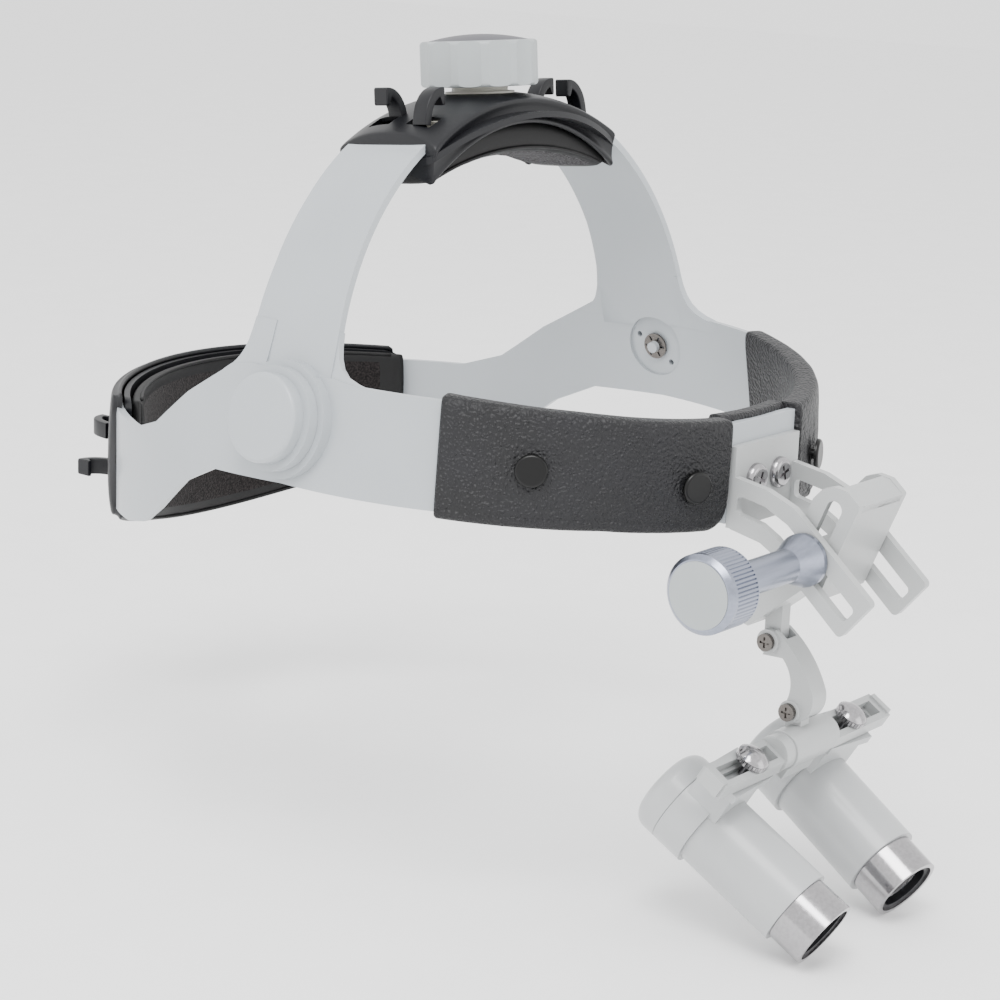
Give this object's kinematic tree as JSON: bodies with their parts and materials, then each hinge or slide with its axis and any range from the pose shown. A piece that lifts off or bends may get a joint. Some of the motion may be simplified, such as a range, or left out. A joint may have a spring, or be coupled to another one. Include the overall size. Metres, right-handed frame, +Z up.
{
  "type": "dental loupes",
  "caption": "Binocular dental loupes on an adjustable head band, with two prism telescopes on a hinged, sliding carrier below a forehead bracket.",
  "frame": {"origin": "centre of the wearer's head opening, midway between the outer faces of the two temple hubs, at their height", "axes": "+Z up, -Y the way the wearer looks, +X the wearer's left"},
  "size_m": [0.2092, 0.3022, 0.2489],
  "materials": {
    "panel_plastic": "satin moulded",
    "leather": "pebble grain",
    "stud_black": "gloss",
    "dark_plastic": "satin moulded",
    "pad_fabric": "short textured pile",
    "knob_plastic": "satin",
    "gear_plastic": "satin",
    "spring_steel": "brushed",
    "screw_chrome": "polished",
    "satin_aluminium": "satin anodised",
    "bracket_paint": "satin",
    "barrel_paint": "satin",
    "lens_glass": "coated",
    "eyecup_rubber": "matte"
  },
  "bodies": {
    "band": {"side_panel_left": "panel_plastic", "side_panel_right": "panel_plastic", "hub_discs": "panel_plastic", "star_clips": "spring_steel", "leather_sleeves": "leather", "front_plate": "panel_plastic", "forehead_pad": "leather", "press_studs": "stud_black", "top_housing": "dark_plastic", "top_base": "dark_plastic", "top_pad": "pad_fabric", "rear_housing": "dark_plastic", "rear_base": "dark_plastic", "rear_pad": "pad_fabric", "knob_collars": "knob_plastic", "bracket": "bracket_paint", "bracket_screws": "screw_chrome"},
    "top_knob": {"top_knob": "knob_plastic", "top_knob_cap": "dark_plastic", "top_pinion": "gear_plastic"},
    "top_rack_left": {"top_rack_left": "gear_plastic"},
    "top_rack_right": {"top_rack_right": "gear_plastic"},
    "rear_knob": {"rear_knob": "knob_plastic", "rear_knob_cap": "dark_plastic", "rear_pinion": "gear_plastic"},
    "rear_rack_left": {"rear_rack_left": "gear_plastic"},
    "rear_rack_right": {"rear_rack_right": "gear_plastic"},
    "clamp": {"clamp_bolt": "satin_aluminium", "clamp_sleeve": "satin_aluminium"},
    "clamp_knob": {"clamp_knob": "satin_aluminium", "clamp_knob_disc": "satin_aluminium"},
    "guide": {"slot_guides": "dark_plastic"},
    "carriage": {"carriage": "bracket_paint", "carriage_cheeks": "bracket_paint"},
    "c_arm": {"c_arm": "bracket_paint", "hinge_screws": "spring_steel"},
    "centre": {"centre_body": "bracket_paint", "pd_arm_left": "bracket_paint", "pd_arm_right": "bracket_paint"},
    "barrel_right": {"prism_housing_right": "barrel_paint", "housing_cover_right": "barrel_paint", "barrel_tube_right": "barrel_paint", "objective_ring_right": "screw_chrome", "retaining_ring_right": "dark_plastic", "objective_lens_right": "lens_glass", "eye_lens_right": "lens_glass", "prism_right": "lens_glass", "eyecup_right": "eyecup_rubber"},
    "thumb_right": {"thumb_screw_right": "screw_chrome"},
    "barrel_left": {"prism_housing_left": "barrel_paint", "housing_cover_left": "barrel_paint", "barrel_tube_left": "barrel_paint", "objective_ring_left": "screw_chrome", "retaining_ring_left": "dark_plastic", "objective_lens_left": "lens_glass", "eye_lens_left": "lens_glass", "prism_left": "lens_glass", "eyecup_left": "eyecup_rubber"},
    "thumb_left": {"thumb_screw_left": "screw_chrome"}
  },
  "joints": [
    {"name": "top_knob_turn", "type": "hinge", "parent": "band", "child": "top_knob", "pos_m": [0, 0, 0], "axis": [0, 0.0872, 0.9962], "range_deg": [-90, 90]},
    {"name": "top_rack_left_travel", "type": "hinge", "parent": "band", "child": "top_rack_left", "pos_m": [0, -0.0011, -0.01255], "axis": [0, 0.9962, -0.0872], "range_deg": [-4.59, 4.59]},
    {"name": "top_rack_right_travel", "type": "hinge", "parent": "band", "child": "top_rack_right", "pos_m": [0, -0.0011, -0.01255], "axis": [0, 0.9962, -0.0872], "range_deg": [-4.59, 4.59]},
    {"name": "rear_knob_turn", "type": "hinge", "parent": "band", "child": "rear_knob", "pos_m": [0, 0.1295, -0.038], "axis": [0, 1, 0], "range_deg": [-90, 90]},
    {"name": "rear_rack_left_travel", "type": "hinge", "parent": "band", "child": "rear_rack_left", "pos_m": [0, 0.0445, -0.038], "axis": [0, 0, -1], "range_deg": [-5.29, 5.29]},
    {"name": "rear_rack_right_travel", "type": "hinge", "parent": "band", "child": "rear_rack_right", "pos_m": [0, 0.0445, -0.038], "axis": [0, 0, -1], "range_deg": [-5.29, 5.29]},
    {"name": "clamp_slide", "type": "slide", "parent": "band", "child": "clamp", "axis": [0, -0.759, -0.651], "range_m": [-0.006, 0.013]},
    {"name": "clamp_knob_turn", "type": "hinge", "parent": "clamp", "child": "clamp_knob", "pos_m": [-0.06, -0.1282, -0.0296], "axis": [1, 0, 0], "range_deg": [-180, 180]},
    {"name": "carriage_tilt", "type": "hinge", "parent": "clamp", "child": "guide", "pos_m": [0, -0.1282, -0.0296], "axis": [1, 0, 0], "range_deg": [-12, 15]},
    {"name": "carriage_slide", "type": "slide", "parent": "guide", "child": "carriage", "axis": [0, -0.3746, 0.9272], "range_m": [-0.012, 0.002]},
    {"name": "upper_hinge", "type": "hinge", "parent": "carriage", "child": "c_arm", "pos_m": [0, -0.1105, -0.06], "axis": [1, 0, 0], "range_deg": [-34, 10]},
    {"name": "lower_hinge", "type": "hinge", "parent": "c_arm", "child": "centre", "pos_m": [0, -0.1193, -0.0792], "axis": [1, 0, 0], "range_deg": [-30, 15]},
    {"name": "pupil_distance_right", "type": "slide", "parent": "centre", "child": "barrel_right", "axis": [-1, 0, 0], "range_m": [-0.0015, 0.009]},
    {"name": "thumb_right_turn", "type": "hinge", "parent": "barrel_right", "child": "thumb_right", "pos_m": [-0.0268, -0.1205, -0.0895], "axis": [0, -0.5225, 0.8526], "range_deg": [-180, 180]},
    {"name": "pupil_distance_left", "type": "slide", "parent": "centre", "child": "barrel_left", "axis": [1, 0, 0], "range_m": [-0.0015, 0.009]},
    {"name": "thumb_left_turn", "type": "hinge", "parent": "barrel_left", "child": "thumb_left", "pos_m": [0.0268, -0.1205, -0.0895], "axis": [0, -0.5225, 0.8526], "range_deg": [-180, 180]}
  ],
  "couplings": [
    {"joint": "top_rack_left_travel", "follows": "top_knob_turn", "ratio": -0.05102},
    {"joint": "top_rack_right_travel", "follows": "top_knob_turn", "ratio": 0.05102},
    {"joint": "rear_rack_left_travel", "follows": "rear_knob_turn", "ratio": -0.058824},
    {"joint": "rear_rack_right_travel", "follows": "rear_knob_turn", "ratio": 0.058824}
  ]
}
